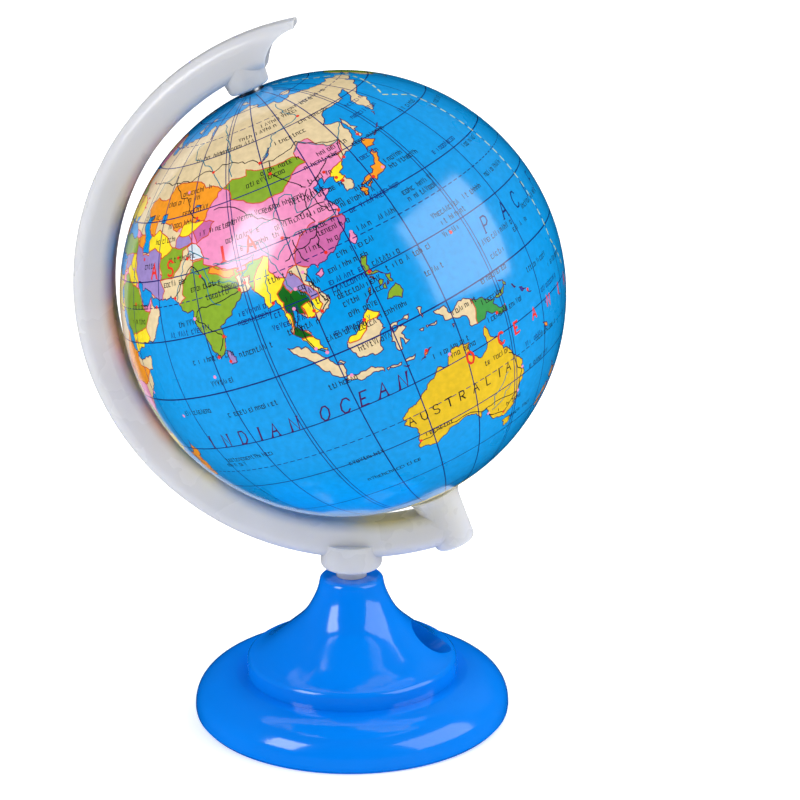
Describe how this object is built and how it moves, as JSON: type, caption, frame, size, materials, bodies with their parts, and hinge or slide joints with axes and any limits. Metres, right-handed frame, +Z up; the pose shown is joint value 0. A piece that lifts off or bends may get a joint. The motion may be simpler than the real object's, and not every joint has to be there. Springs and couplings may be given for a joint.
{
  "type": "desktop globe with pencil sharpener",
  "caption": "Small political globe on a milky C-shaped arm, standing on a glossy blue trumpet base with a pencil sharpener inside; ball spins, arm swivels, lid twists off.",
  "frame": {"origin": "centre of the base's underside, on the base's axis, at the plane it stands on", "axes": "+Z up; the arm lies in the XZ plane with its back towards -X, so the north pole leans towards -X; the pencil leaves towards +X"},
  "size_m": [0.0942, 0.085, 0.1387],
  "materials": {
    "blue_plastic": "glossy moulded plastic",
    "milky_plastic": "glossy, slightly translucent moulded plastic",
    "map_print": "varnished print",
    "ball_plastic": "matt moulded plastic",
    "sharpener_plastic": "matt moulded plastic",
    "bush_plastic": "natural nylon",
    "blade_steel": "ground steel",
    "screw_steel": "plated steel",
    "pin_steel": "drawn steel"
  },
  "bodies": {
    "base": {"base_shell": "blue_plastic", "sharpener_body": "sharpener_plastic", "sharpener_blade": "blade_steel", "blade_screw": "screw_steel"},
    "lid": {"shavings_lid": "blue_plastic"},
    "arm": {"arm": "milky_plastic", "stub_washer": "screw_steel", "stub_screw": "screw_steel", "north_pin": "pin_steel", "south_pin": "pin_steel"},
    "globe": {"north_hemisphere": "ball_plastic", "south_hemisphere": "ball_plastic", "north_bush": "bush_plastic", "south_bush": "bush_plastic", "map_gore_1": "map_print", "map_gore_2": "map_print", "map_gore_3": "map_print", "map_gore_4": "map_print", "map_gore_5": "map_print", "map_gore_6": "map_print"}
  },
  "joints": [
    {"name": "arm_swivel", "type": "hinge", "parent": "base", "child": "arm", "pos_m": [0, 0, 0.0262], "axis": [0, 0, 1], "continuous": true},
    {"name": "globe_spin", "type": "hinge", "parent": "arm", "child": "globe", "pos_m": [-0.0012, 0, 0.086], "axis": [-0.3987, 0, 0.9171], "continuous": true},
    {"name": "lid_twist", "type": "hinge", "parent": "base", "child": "lid", "pos_m": [0, 0, 0.0018], "axis": [0, 0, 1], "range_deg": [0, 60]}
  ]
}
